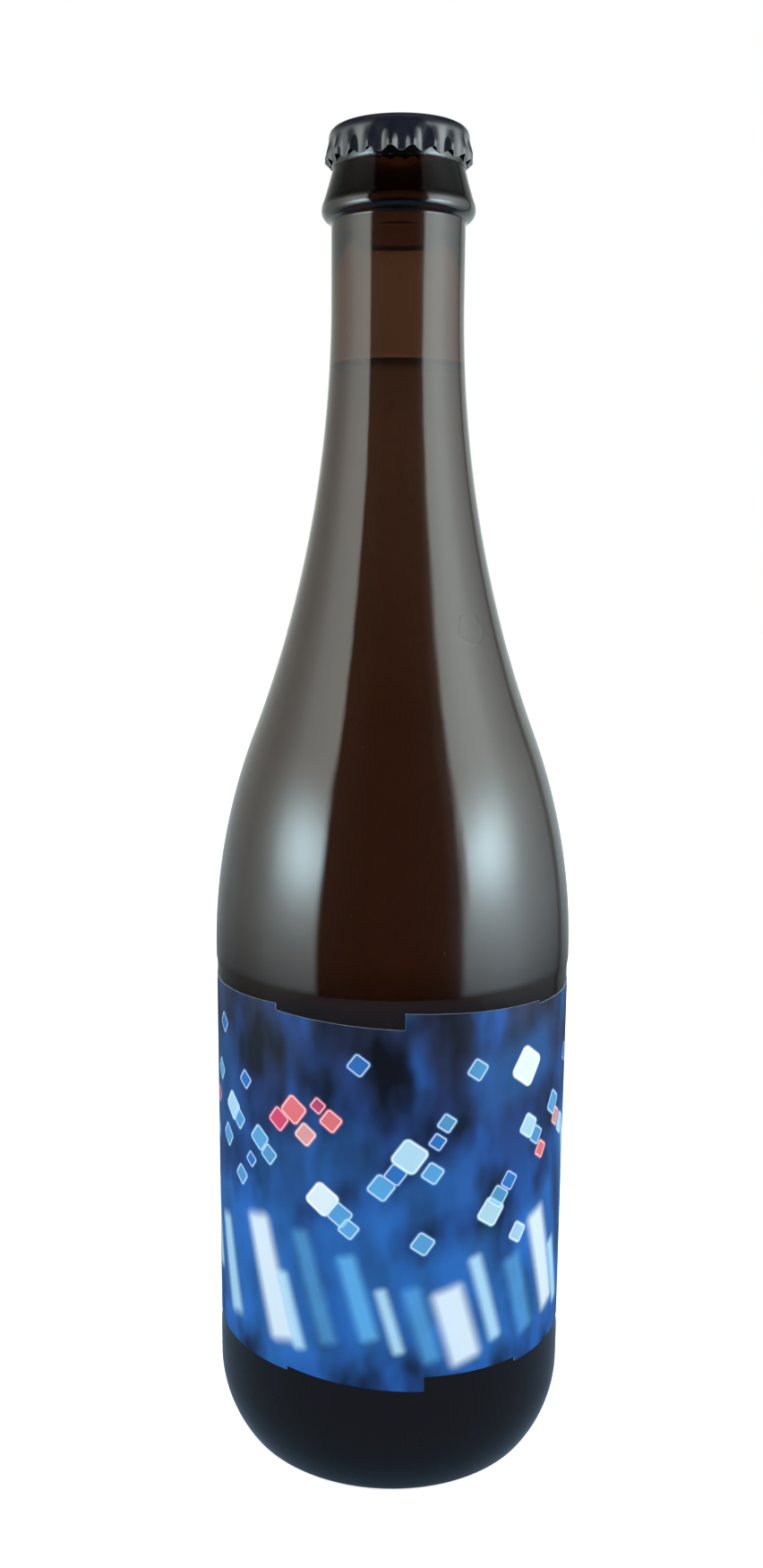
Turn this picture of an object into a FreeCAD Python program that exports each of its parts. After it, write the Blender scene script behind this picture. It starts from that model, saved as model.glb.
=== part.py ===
"""A filled 0.75 litre amber glass beer bottle with a crown cap and a wrap-round label.

Frame: +Z up, origin on the bottle's axis in the plane that it stands on, label facing -Y. Millimetres.
"""
import FreeCAD, Part
import Sketcher
import math
import os

OUT_FOLDER = "parts"

# Driving dimensions: name, value in millimetres (angles in degrees), what it is.
DIMENSIONS = (
    ("body_radius", 40.75, "bearing bands of the body, above and below the label panel"),
    ("panel_recess", 0.25, "label panel below the bearing bands"),
    ("heel_inset", 8.25, "standing ring inside the body radius"),
    ("heel_height", 17.6, "where the heel runs into the wall"),
    ("heel_corner", 4.0, "radius between the standing ring and the heel"),
    ("ring_width", 3.0, "flat of the standing ring"),
    ("punt_height", 4.0, "hollow under the base"),
    ("band_height", 7.6, "lower bearing band"),
    ("panel_lead", 2.0, "slope between a bearing band and the panel"),
    ("panel_height", 88.0, "straight label panel"),
    ("upper_band", 1.3, "upper bearing band, up to the shoulder"),
    ("shoulder_height", 142.5, "from the body up to the straight neck"),
    ("shoulder_radius", 138.0, "convex lower arc of the shoulder"),
    ("bore_radius", 10.4, "inside of the neck"),
    ("neck_wall", 3.85, "glass thickness of the straight neck"),
    ("neck_length", 15.5, "straight neck, up to the collar"),
    ("mouth_step", 1.2, "bore of the thick finish inside that of the neck"),
    ("mouth_step_rise", 2.8, "slope from the neck's bore to the finish's"),
    ("finish_depth", 4.4, "thick finish reaching down below the collar"),
    ("collar_overhang", 2.1, "collar proud of the neck"),
    ("collar_rise", 2.4, "rounded underside of the collar"),
    ("collar_round", 2.3, "radius of the underside"),
    ("collar_side", 1.4, "rounded side of the collar"),
    ("collar_side_round", 3.2, "radius of the side"),
    ("collar_draw", 0.35, "collar's upper edge inside its widest part"),
    ("waist_wall", 4.75, "glass thickness at the narrow place below the lip"),
    ("cone_height", 5.8, "from the collar up to the waist"),
    ("cone_hollow", 14.0, "radius of the hollow cone between collar and waist"),
    ("lip_wall", 5.1, "glass thickness at the locking ring of the finish"),
    ("lip_rise", 1.6, "underside of the locking ring"),
    ("lip_height", 7.0, "locking ring up to the sealing face"),
    ("lip_round", 1.6, "outer edge of the sealing face"),
    ("mouth_round", 1.2, "inner edge of the sealing face"),
    ("wall", 3.45, "glass thickness of the body"),
    ("base_wall", 5.0, "glass thickness of the base"),
    ("inner_heel", 11.0, "radius inside the heel"),
    ("fill_drop", 46.9, "drink's surface below the sealing face"),
    ("cap_sheet", 0.3, "metal of the crown cap"),
    ("cap_height", 7.4, "crown cap"),
    ("cap_clearance", 0.25, "between the locking ring and the cap's plain rim"),
    ("cap_flare", 0.45, "mean radius at the teeth beyond the plain rim"),
    ("cap_corner", 2.0, "outer rounding of the top edge"),
    ("cap_flute_depth", 0.75, "crest to valley at the teeth"),
    ("cap_flutes", 21, "number of teeth"),
    ("label_sheet", 0.15, "thickness of the label"),
    ("label_margin_low", 1.0, "panel showing below the label's lowest edge"),
    ("label_margin_high", 0.7, "panel showing above the label's highest edge"),
    ("label_gap", 14.0, "angle left open at the back"),
)

# The stepped edges of the label, as bands round the bottle. Azimuth 0 is the front, positive to the right.
# Each row: name, azimuth at its left and right end, distance inside the label's highest or lowest edge there.
TOP_BANDS = (
    ("top_far_left", -90.0, -39.0, 2.3, 0.6),
    ("top_left", -39.0, 2.5, 2.1, 3.6),
    ("top_right", 2.5, 50.5, 0.0, 1.6),
    ("top_far_right", 50.5, 90.0, 2.3, 3.1),
)
BOTTOM_BANDS = (
    ("bottom_far_left", -90.0, -35.5, 0.5, 1.0),
    ("bottom_left", -35.5, 9.5, 2.0, 0.0),
    ("bottom_right", 9.5, 42.5, 3.5, 2.5),
    ("bottom_far_right", 42.5, 90.0, 1.5, 0.8),
)

# Heights and radii that follow from the driving dimensions, as expressions on the sheet.
RING = "(dims.body_radius - dims.heel_inset)"
PANEL = "(dims.body_radius - dims.panel_recess)"
PANEL_BOTTOM = "(dims.heel_height + dims.band_height)"
PANEL_TOP = f"({PANEL_BOTTOM} + 2 * dims.panel_lead + dims.panel_height)"
SHOULDER = f"({PANEL_TOP} + dims.upper_band)"
NECK = f"({SHOULDER} + dims.shoulder_height)"
COLLAR = f"({NECK} + dims.neck_length)"
COLLAR_EDGE = f"({COLLAR} + dims.collar_rise + dims.collar_side)"
WAIST = f"({COLLAR_EDGE} + dims.cone_height)"
LIP = f"({WAIST} + dims.lip_rise)"
MOUTH = f"({LIP} + dims.lip_height)"
LEVEL = f"({MOUTH} - dims.fill_drop)"
INNER = "(dims.body_radius - dims.wall)"
NECK_RADIUS = "(dims.bore_radius + dims.neck_wall)"
COLLAR_RADIUS = f"({NECK_RADIUS} + dims.collar_overhang)"
MOUTH_RADIUS = "(dims.bore_radius - dims.mouth_step)"
WAIST_RADIUS = f"({MOUTH_RADIUS} + dims.waist_wall)"
LIP_RADIUS = f"({MOUTH_RADIUS} + dims.lip_wall)"
LABEL_FACE = f"({PANEL} + dims.label_sheet)"
LABEL_BOTTOM = f"({PANEL_BOTTOM} + dims.panel_lead + dims.label_margin_low)"
LABEL_TOP = f"({PANEL_TOP} - dims.panel_lead - dims.label_margin_high)"
CAP_TOP = f"({MOUTH} + dims.cap_sheet)"


def make_sheet(doc):
    """The spreadsheet that drives every size."""
    sheet = doc.addObject("Spreadsheet::Sheet", "dims")
    rows = list(DIMENSIONS)
    for name, left, right, left_inset, right_inset in TOP_BANDS + BOTTOM_BANDS:
        rows.append((name + "_from", left, "azimuth"))
        rows.append((name + "_to", right, "azimuth"))
        rows.append((name + "_inset_from", left_inset, "inside the label's edge"))
        rows.append((name + "_inset_to", right_inset, "inside the label's edge"))
    for row, (name, value, meaning) in enumerate(rows, 1):
        sheet.set(f"A{row}", name)
        sheet.set(f"B{row}", str(value))
        sheet.set(f"C{row}", meaning)
        sheet.setAlias(f"B{row}", name)
    doc.recompute()
    return sheet


def make_body(doc, name):
    body = doc.addObject("PartDesign::Body", name)
    body.Label = name
    return body


def origin_feature(body, role):
    return next(item for item in body.Origin.OriginFeatures if item.Role == role)


def add_sketch(body, name, plane):
    sketch = body.newObject("Sketcher::SketchObject", name)
    sketch.AttachmentSupport = (origin_feature(body, plane), [""])
    sketch.MapMode = "FlatFace"
    return sketch


def arc_edge(start, end, radius, turn):
    """Arc of a circle from start to end; turn is 1 where it runs anticlockwise, -1 where clockwise."""
    chord = end - start
    middle = (start + end) / 2
    offset = math.sqrt(max(radius**2 - (chord.Length / 2) ** 2, 0.0))
    side = FreeCAD.Vector(-chord.y, chord.x, 0).normalize()
    centre = middle + side * offset * turn
    angles = [math.atan2(point.y - centre.y, point.x - centre.x) for point in (start, end)]
    first, last = angles if turn == 1 else reversed(angles)
    circle = Part.Circle(centre, FreeCAD.Vector(0, 0, 1), radius)
    return Part.ArcOfCircle(circle, first, last)


def draw_loop(sketch, corners):
    """Closed outline whose corners, and the radii of its arcs, are bound to the sheet.

    A corner is (x, y) where a straight edge leaves it, or (x, y, radius, turn) where an arc does.
    """
    values = [(sketch.evalExpression(x), sketch.evalExpression(y)) for x, y, *_ in corners]
    points = [FreeCAD.Vector(x, y, 0) for x, y in values]
    first = sketch.GeometryCount
    starts = []
    for index, corner in enumerate(corners):
        start, end = points[index], points[(index + 1) % len(points)]
        if len(corner) == 2:
            sketch.addGeometry(Part.LineSegment(start, end), False)
            starts.append(1)
        else:
            turn = corner[3]
            sketch.addGeometry(arc_edge(start, end, sketch.evalExpression(corner[2]), turn), False)
            starts.append(1 if turn == 1 else 2)
    for index, corner in enumerate(corners):
        edge, following = first + index, first + (index + 1) % len(corners)
        start, next_start = starts[index], starts[(index + 1) % len(corners)]
        sketch.addConstraint(Sketcher.Constraint("Coincident", edge, 3 - start, following, next_start))
        bind(sketch, Sketcher.Constraint("DistanceX", edge, start, points[index].x), corner[0])
        bind(sketch, Sketcher.Constraint("DistanceY", edge, start, points[index].y), corner[1])
        if len(corner) > 2:
            radius = sketch.evalExpression(corner[2])
            bind(sketch, Sketcher.Constraint("Radius", edge, radius), corner[2])


def bind(sketch, constraint, expression):
    number = sketch.addConstraint(constraint)
    sketch.setExpression(f"Constraints[{number}]", expression)


def revolve(body, kind, name, sketch):
    """Full turn of a sketch about the bottle's axis, added (Revolution) or cut (Groove)."""
    feature = body.newObject("PartDesign::" + kind, name)
    feature.Profile = sketch
    feature.ReferenceAxis = (sketch, ["V_Axis"])
    feature.Angle = 360.0
    sketch.Visibility = False
    return feature


def shoulder_corners(wide, narrow, radius):
    """Two arcs, tangent to each other and to the walls at both ends, from the body up to the neck."""
    width = f"({wide} - {narrow})"
    both_radii = f"((dims.shoulder_height ^ 2 + {width} ^ 2) / (2 * {width}))"
    share = f"({radius} / {both_radii})"
    turn_radius = f"{wide} - {share} * {width}"
    turn_height = f"{SHOULDER} + {share} * dims.shoulder_height"
    return (
        (wide, SHOULDER, radius, 1),
        (turn_radius, turn_height, f"{both_radii} - {radius}", -1),
    )


def dome_radius(width):
    """Radius of a dome that is punt_height tall over the given half width."""
    return f"(({width}) ^ 2 + dims.punt_height ^ 2) / (2 * dims.punt_height)"


def outside_corners():
    """Half section of the whole glass outside, from the hollow under the base round to the mouth."""
    hollow = f"({RING} - dims.ring_width)"
    spare = "(dims.heel_inset - dims.heel_corner)"
    spread = "(dims.heel_inset ^ 2 + dims.heel_height ^ 2 - 2 * dims.heel_height * dims.heel_corner)"
    heel = f"({spread} / (2 * {spare}))"
    reach = f"(dims.heel_corner / ({heel} - dims.heel_corner))"
    return (
        ("0", "dims.punt_height", dome_radius(hollow), -1),
        (hollow, "0"),
        (RING, "0", "dims.heel_corner", 1),
        (
            f"{RING} + {reach} * ({heel} - dims.heel_inset)",
            f"dims.heel_corner - {reach} * (dims.heel_height - dims.heel_corner)",
            heel,
            1,
        ),
        ("dims.body_radius", "dims.heel_height"),
        ("dims.body_radius", PANEL_BOTTOM),
        (PANEL, f"{PANEL_BOTTOM} + dims.panel_lead"),
        (PANEL, f"{PANEL_TOP} - dims.panel_lead"),
        ("dims.body_radius", PANEL_TOP),
        *shoulder_corners("dims.body_radius", NECK_RADIUS, "dims.shoulder_radius"),
        (NECK_RADIUS, NECK),
        (NECK_RADIUS, COLLAR, "dims.collar_round", 1),
        (COLLAR_RADIUS, f"{COLLAR} + dims.collar_rise", "dims.collar_side_round", 1),
        (f"{COLLAR_RADIUS} - dims.collar_draw", COLLAR_EDGE, "dims.cone_hollow", -1),
        (WAIST_RADIUS, WAIST),
        (LIP_RADIUS, LIP),
        (LIP_RADIUS, f"{MOUTH} - dims.lip_round", "dims.lip_round", 1),
        (f"{LIP_RADIUS} - dims.lip_round", MOUTH),
        ("0", MOUTH),
    )


def inside_corners():
    """Half section of the space inside the glass, up to the mouth."""
    floor = f"({INNER} - dims.inner_heel)"
    return (
        ("0", "dims.punt_height + dims.base_wall", dome_radius(floor), -1),
        (floor, "dims.base_wall", "dims.inner_heel", 1),
        (INNER, "dims.base_wall + dims.inner_heel"),
        *shoulder_corners(INNER, "dims.bore_radius", "(dims.shoulder_radius - dims.wall)"),
        ("dims.bore_radius", NECK),
        ("dims.bore_radius", f"{COLLAR} - dims.finish_depth"),
        (MOUTH_RADIUS, f"{COLLAR} - dims.finish_depth + dims.mouth_step_rise"),
        (MOUTH_RADIUS, f"{MOUTH} - dims.mouth_round", "dims.mouth_round", -1),
        (f"{MOUTH_RADIUS} + dims.mouth_round", MOUTH),
        ("0", MOUTH),
    )


def make_bottle(doc):
    """Hollow glass with its label panel, sloping shoulder, collar and crown finish."""
    body = make_body(doc, "bottle")
    outside = add_sketch(body, "glass_outside", "XZ_Plane")
    draw_loop(outside, outside_corners())
    revolve(body, "Revolution", "glass", outside)
    inside = add_sketch(body, "glass_inside", "XZ_Plane")
    draw_loop(inside, inside_corners())
    revolve(body, "Groove", "hollow", inside)
    return body


def make_beer(doc):
    """The drink: the space inside the glass, cut off level in the neck."""
    body = make_body(doc, "beer")
    inside = add_sketch(body, "drink_outline", "XZ_Plane")
    draw_loop(inside, inside_corners())
    revolve(body, "Revolution", "drink", inside)
    headspace = add_sketch(body, "headspace_outline", "XZ_Plane")
    draw_loop(headspace, (("0", LEVEL), (INNER, LEVEL), (INNER, MOUTH), ("0", MOUTH)))
    revolve(body, "Groove", "headspace", headspace)
    return body


def fluted_wire(mean_radius, depth, height, flutes):
    """Closed wavy curve round the axis with one crest for each tooth and a hollow at the front."""
    per_flute = 8
    count = int(flutes) * per_flute
    points = []
    for index in range(count):
        angle = 2 * math.pi * index / count
        from_front = angle + math.pi / 2
        radius = mean_radius - depth / 2 * math.cos(flutes * from_front)
        points.append(FreeCAD.Vector(radius * math.cos(angle), radius * math.sin(angle), height))
    curve = Part.BSplineCurve()
    curve.interpolate(Points=points, PeriodicFlag=True)
    return Part.Wire([curve.toShape()])


def cap_sections(dims, inset):
    """Sections up the crown cap, drawn in by inset all over: fluted skirt, plain rim, rounded top edge."""
    rim_height = dims.cap_height - dims.cap_corner
    lip_radius = dims.bore_radius - dims.mouth_step + dims.lip_wall
    rim_radius = lip_radius + dims.cap_clearance + dims.cap_sheet
    skirt_radius = rim_radius + dims.cap_flare
    skirt = (
        (0.0, skirt_radius, dims.cap_flute_depth),
        (0.35, skirt_radius, 0.85 * dims.cap_flute_depth),
        (0.75, rim_radius + 0.4 * dims.cap_flare, 0.35 * dims.cap_flute_depth),
        (1.0, rim_radius, 0.0),
    )
    wires = []
    for share, radius, depth in skirt:
        wires.append(fluted_wire(radius - inset, depth, share * rim_height, dims.cap_flutes))
    corner = dims.cap_corner - inset
    middle = rim_radius - dims.cap_corner
    for degrees in (30, 60, 90):
        angle = math.radians(degrees)
        radius = middle + corner * math.cos(angle)
        wires.append(fluted_wire(radius, 0.0, rim_height + corner * math.sin(angle), dims.cap_flutes))
    return wires


def make_crown_cap(doc, dims):
    """Pressed sheet-metal crown: its fluted skirt is too free a shape for sketches, so it is lofted."""
    outer = Part.makeLoft(cap_sections(dims, 0.0), True, False)
    inner = Part.makeLoft(cap_sections(dims, dims.cap_sheet), True, False)
    cap = doc.addObject("Part::Feature", "crown_cap")
    cap.Label = "crown_cap"
    cap.Shape = outer.cut(inner)
    cap.setExpression("Placement.Base.z", f"{CAP_TOP} - dims.cap_height")
    return cap


def edge_points(bands, height, inward):
    """Corners along a stepped edge of the label, from left to right, in the front elevation."""
    points = []
    for name, *_ in bands:
        for end in ("from", "to"):
            across = f"{LABEL_FACE} * sin(dims.{name}_{end} * 1 deg)"
            points.append((across, f"{height} {inward} dims.{name}_inset_{end}"))
    return points


def trim(body, name, corners, front):
    """Cuts away what lies inside the corners, on the front or the back half of the label."""
    sketch = add_sketch(body, name + "_outline", "XZ_Plane")
    draw_loop(sketch, corners)
    pocket = body.newObject("PartDesign::Pocket", name)
    pocket.Profile = sketch
    pocket.Type = "ThroughAll"
    pocket.Reversed = front
    sketch.Visibility = False
    return pocket


def make_label(doc):
    """Thin sheet wrapped round the panel, with stepped upper and lower edges."""
    body = make_body(doc, "label")
    section = add_sketch(body, "label_section", "YZ_Plane")
    face, back = f"-{LABEL_FACE}", f"-{PANEL}"
    draw_loop(section, ((face, LABEL_BOTTOM), (back, LABEL_BOTTOM), (back, LABEL_TOP), (face, LABEL_TOP)))
    sheet = revolve(body, "Revolution", "label_wrap", section)
    sheet.Midplane = True
    sheet.setExpression("Angle", "360 - dims.label_gap")
    margin = 5.0
    above, below = f"{LABEL_TOP} + {margin}", f"{LABEL_BOTTOM} - {margin}"
    left = f"-{LABEL_FACE} - {margin}"
    right = f"{LABEL_FACE} + {margin}"
    for front in (True, False):
        top = edge_points(TOP_BANDS, LABEL_TOP, "-")
        bottom = edge_points(BOTTOM_BANDS, LABEL_BOTTOM, "+")
        if not front:
            top, bottom = top[:1] + top[-1:], bottom[:1] + bottom[-1:]
        side = "front" if front else "rear"
        top_loop = [(left, top[0][1]), *top, (right, top[-1][1]), (right, above), (left, above)]
        bottom.reverse()
        bottom_loop = [(left, below), (right, below), (right, bottom[0][1]), *bottom, (left, bottom[-1][1])]
        trim(body, side + "_top", top_loop, front)
        trim(body, side + "_bottom", bottom_loop, front)
    return body


def check(doc, pieces):
    """Stops if a feature failed or a piece is not one valid solid."""
    doc.recompute()
    for item in doc.Objects:
        if {"Invalid", "Error"} & set(item.State):
            raise RuntimeError(f"{item.Name} failed: {item.State}")
    for piece in pieces:
        shape = piece.Shape
        if shape.isNull() or not shape.isValid() or len(shape.Solids) != 1:
            raise RuntimeError(f"{piece.Label} is not one valid solid")


def main():
    doc = FreeCAD.newDocument("beer_bottle")
    dims = make_sheet(doc)
    pieces = [make_bottle(doc), make_beer(doc), make_crown_cap(doc, dims), make_label(doc)]
    check(doc, pieces)
    os.makedirs(OUT_FOLDER, exist_ok=True)
    for piece in pieces:
        shape = piece.Shape
        shape.exportStep(os.path.join(OUT_FOLDER, piece.Label + ".step"))
        box = shape.optimalBoundingBox()
        size = f"z {box.ZMin:.2f} to {box.ZMax:.2f}, {box.XLength:.2f} wide"
        print(f"{piece.Label}: {shape.Volume:.1f} mm3, {size}")


main()
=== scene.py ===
"""Looks of a filled beer bottle: amber glass, drink, crown cap and a wrap-round label in a plain soft studio.

Same frame as the CAD: metres, +Z up, the bottle's axis on Z, label facing -Y. Outlines are drawn in
millimetres, and new_object scales them.
"""
import math

import bmesh
import bpy
from mathutils import Matrix, Vector


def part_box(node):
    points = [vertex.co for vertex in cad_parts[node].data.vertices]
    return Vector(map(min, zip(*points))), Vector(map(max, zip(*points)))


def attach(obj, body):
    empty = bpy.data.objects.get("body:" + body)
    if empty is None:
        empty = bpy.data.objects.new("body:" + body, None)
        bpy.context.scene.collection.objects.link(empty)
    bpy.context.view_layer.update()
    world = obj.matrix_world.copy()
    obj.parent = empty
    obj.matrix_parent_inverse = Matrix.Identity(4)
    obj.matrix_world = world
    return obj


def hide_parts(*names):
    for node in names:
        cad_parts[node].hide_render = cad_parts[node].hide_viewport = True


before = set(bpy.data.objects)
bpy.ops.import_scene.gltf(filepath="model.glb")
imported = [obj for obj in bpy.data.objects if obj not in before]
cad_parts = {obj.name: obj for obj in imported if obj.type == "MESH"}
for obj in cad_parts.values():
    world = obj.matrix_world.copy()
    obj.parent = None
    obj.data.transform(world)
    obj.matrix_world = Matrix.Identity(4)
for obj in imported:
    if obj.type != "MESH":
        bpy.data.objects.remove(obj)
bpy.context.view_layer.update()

MM = 0.001


def box_mm(node):
    """Lowest and highest corner of a node of the frame, in millimetres."""
    low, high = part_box(node)
    return [value / MM for value in low], [value / MM for value in high]


# Main sizes, read from the frame.
GLASS_LOW, GLASS_HIGH = box_mm("bottle")
BEER_LOW, BEER_HIGH = box_mm("beer")
CAP_LOW, CAP_HIGH = box_mm("crown_cap")
LABEL_LOW, LABEL_HIGH = box_mm("label")
BODY_RADIUS = (GLASS_HIGH[0] - GLASS_LOW[0]) / 2
MOUTH = GLASS_HIGH[2]
LEVEL = BEER_HIGH[2]
INNER_RADIUS = (BEER_HIGH[0] - BEER_LOW[0]) / 2

# Details of the glass, in millimetres. They are those of the CAD, apart from the step in the bore, which is
# higher and longer, and the cone under the cap, which is straighter and runs further up.
PANEL_RADIUS = BODY_RADIUS - 0.25
HEEL_HEIGHT = 17.6
HEEL_INSET = 8.25
HEEL_CORNER = 4.0
RING_WIDTH = 3.0
PUNT_HEIGHT = 4.0
PANEL_LOW = 25.2
PANEL_HIGH = 117.2
PANEL_LEAD = 2.0
SHOULDER_START = 118.5
SHOULDER_HEIGHT = 142.5
SHOULDER_RADIUS = 138.0
NECK_RADIUS = 14.25
NECK_TOP = 276.5
BORE_RADIUS = 10.4
MOUTH_RADIUS = 9.2
MOUTH_ROUND = 1.2
BORE_STEP_LOW = 274.0
BORE_STEP_HIGH = 279.0
BORE_STEP_ARC = 12.0
BASE_WALL = 5.0
INNER_HEEL = 11.0

# The collar's bead, the cone and the lip. What ends in UP is a height above the top of the neck.
NECK_FILLET_DROP = 0.5
NECK_FILLET = 0.7
COLLAR_FOOT_OUT = 0.45
COLLAR_FOOT_UP = 0.1
COLLAR_ROUND = 2.3
COLLAR_RADIUS = 16.35
COLLAR_UP = 2.4
COLLAR_SIDE_ROUND = 3.2
COLLAR_DRAW = 0.35
CONE_FOOT_UP = 3.8
CONE_HOLLOW = 90.0
WAIST_RADIUS = 13.95
WAIST_UP = 10.6
LIP_RADIUS = 14.3
LIP_FOOT_UP = 11.2
LIP_ROUND = 1.6

# The drink, in millimetres: how far it reaches into the glass, and how far below its rim it stops following the
# glass. Its surface is given by distance from the wall and depth below the rim.
INTO_WALL = 0.15
WALL_TOP_DROP = 2.0
SURFACE = ((0.0, 0.0), (0.25, 0.1), (0.7, 0.4), (1.6, 0.7), (3.0, 0.8))
SURFACE_DROP = 0.8

# The label's stepped edges: azimuth at the left and right end of each band, and its height there inside the
# label's highest or lowest edge. Azimuth 0 is the front, positive to the right.
LABEL_SHEET = 0.15
LABEL_GAP = 14.0
TOP_BANDS = (
    (-90.0, -39.0, 2.3, 0.6),
    (-39.0, 2.5, 2.1, 3.6),
    (2.5, 50.5, 0.0, 1.6),
    (50.5, 90.0, 2.3, 3.1),
)
BOTTOM_BANDS = (
    (-90.0, -35.5, 0.5, 1.0),
    (-35.5, 9.5, 2.0, 0.0),
    (9.5, 42.5, 3.5, 2.5),
    (42.5, 90.0, 1.5, 0.8),
)

# The label's mesh: width of a strip and the end of the cuts, in degrees, and the heights of the level cuts.
LABEL_STRIP = 1.5
LABEL_LAST_CUT = 170
LABEL_LEVELS = (34.0, 50.0, 70.0, 90.0, 108.0)

# Crown cap, in millimetres, with heights above its lower edge.
CAP_TEETH = 21
CAP_STEPS_PER_TOOTH = 16
CAP_HEIGHT = CAP_HIGH[2] - CAP_LOW[2]
CAP_SHEET = 0.3
CAP_RIM_RADIUS = 14.85
CAP_FLARE = 0.45
CAP_CORNER = 2.0
CAP_CORNER_ANGLES = (18, 36, 54, 72, 90)
CAP_RIM_HEIGHT = CAP_HEIGHT - CAP_CORNER
CAP_DEPTH = 1.0
CAP_CREST_POWER = 1.5
CAP_CREST_MEAN = 0.62
CAP_SCALLOP = 0.9
CAP_SCALLOP_HEIGHT = 2.5
CAP_SKIRT_HEIGHTS = (0.0, 0.12, 0.3, 0.6, 1.0, 1.5, 2.0, 2.5, 3.0, 3.5, 4.0, 4.5, 5.0, CAP_RIM_HEIGHT)
CAP_DISH_EDGE = 12.2
CAP_DISH_FLAT = 11.0
CAP_DISH_DEPTH = 0.12
CAP_TOP_RADII = (CAP_DISH_EDGE, 11.6, CAP_DISH_FLAT, 8.0, 4.0)

SEGMENTS = 240
ANTICLOCKWISE = 1
CLOCKWISE = -1


# ---------------------------------------------------------------- geometry

def arc_points(start, end, radius, turn, steps):
    """Points from start to just before end on an arc that turns ANTICLOCKWISE or CLOCKWISE."""
    start = Vector(start)
    end = Vector(end)
    chord = end - start
    offset = math.sqrt(max(radius**2 - (chord.length / 2) ** 2, 0.0))
    centre = (start + end) / 2 + Vector((-chord.y, chord.x)).normalized() * offset * turn
    first = math.atan2(start.y - centre.y, start.x - centre.x)
    last = math.atan2(end.y - centre.y, end.x - centre.x)
    sweep = (last - first + math.pi) % (2 * math.pi) - math.pi
    angles = [first + sweep * step / steps for step in range(steps)]
    return [(centre.x + radius * math.cos(a), centre.y + radius * math.sin(a)) for a in angles]


def outline(corners):
    """Points along corners on the (radius, height) plane.

    A straight line leaves a corner (radius, height). An arc leaves one that also gives the arc's radius, its
    turn and its number of steps.
    """
    points = []
    for corner, following in zip(corners, corners[1:]):
        if len(corner) > 2:
            points += arc_points(corner[:2], following[:2], *corner[2:])
        else:
            points.append(corner[:2])
    points.append(corners[-1][:2])
    return points


def shoulder(wide, narrow, radius):
    """Two tangent arcs from the body up to the neck."""
    width = wide - narrow
    both_radii = (SHOULDER_HEIGHT**2 + width**2) / (2 * width)
    share = radius / both_radii
    joint = (wide - share * width, SHOULDER_START + share * SHOULDER_HEIGHT)
    return [
        (wide, SHOULDER_START, radius, ANTICLOCKWISE, 40),
        (*joint, both_radii - radius, CLOCKWISE, 60),
    ]


def heel_arc(ring):
    """Radius of the heel's long arc, and the point where the small corner arc runs into it."""
    spread = HEEL_INSET**2 + HEEL_HEIGHT**2 - 2 * HEEL_HEIGHT * HEEL_CORNER
    heel = spread / (2 * (HEEL_INSET - HEEL_CORNER))
    reach = HEEL_CORNER / (heel - HEEL_CORNER)
    joint = (ring + reach * (heel - HEEL_INSET), HEEL_CORNER - reach * (HEEL_HEIGHT - HEEL_CORNER))
    return heel, joint


def sagged(reach):
    """Radius of the arc that rises by the punt's height over a distance from the axis."""
    return (reach**2 + PUNT_HEIGHT**2) / (2 * PUNT_HEIGHT)


def outside_outline():
    """Outer face, from the middle of the punt up to the mouth's edge."""
    ring = BODY_RADIUS - HEEL_INSET
    hollow = ring - RING_WIDTH
    heel, heel_joint = heel_arc(ring)
    return outline([
        (0.0, PUNT_HEIGHT, sagged(hollow), CLOCKWISE, 12),
        (hollow, 0.0),
        (ring, 0.0, HEEL_CORNER, ANTICLOCKWISE, 10),
        (*heel_joint, heel, ANTICLOCKWISE, 16),
        (BODY_RADIUS, HEEL_HEIGHT),
        (BODY_RADIUS, PANEL_LOW),
        (PANEL_RADIUS, PANEL_LOW + PANEL_LEAD),
        (PANEL_RADIUS, PANEL_HIGH - PANEL_LEAD),
        (BODY_RADIUS, PANEL_HIGH),
        *shoulder(BODY_RADIUS, NECK_RADIUS, SHOULDER_RADIUS),
        (NECK_RADIUS, SHOULDER_START + SHOULDER_HEIGHT),
        (NECK_RADIUS, NECK_TOP - NECK_FILLET_DROP, NECK_FILLET, CLOCKWISE, 5),
        (NECK_RADIUS + COLLAR_FOOT_OUT, NECK_TOP + COLLAR_FOOT_UP, COLLAR_ROUND, ANTICLOCKWISE, 10),
        (COLLAR_RADIUS, NECK_TOP + COLLAR_UP, COLLAR_SIDE_ROUND, ANTICLOCKWISE, 6),
        (COLLAR_RADIUS - COLLAR_DRAW, NECK_TOP + CONE_FOOT_UP, CONE_HOLLOW, CLOCKWISE, 12),
        (WAIST_RADIUS, NECK_TOP + WAIST_UP),
        (LIP_RADIUS, NECK_TOP + LIP_FOOT_UP),
        (LIP_RADIUS, MOUTH - LIP_ROUND, LIP_ROUND, ANTICLOCKWISE, 8),
        (LIP_RADIUS - LIP_ROUND, MOUTH),
    ])


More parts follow.
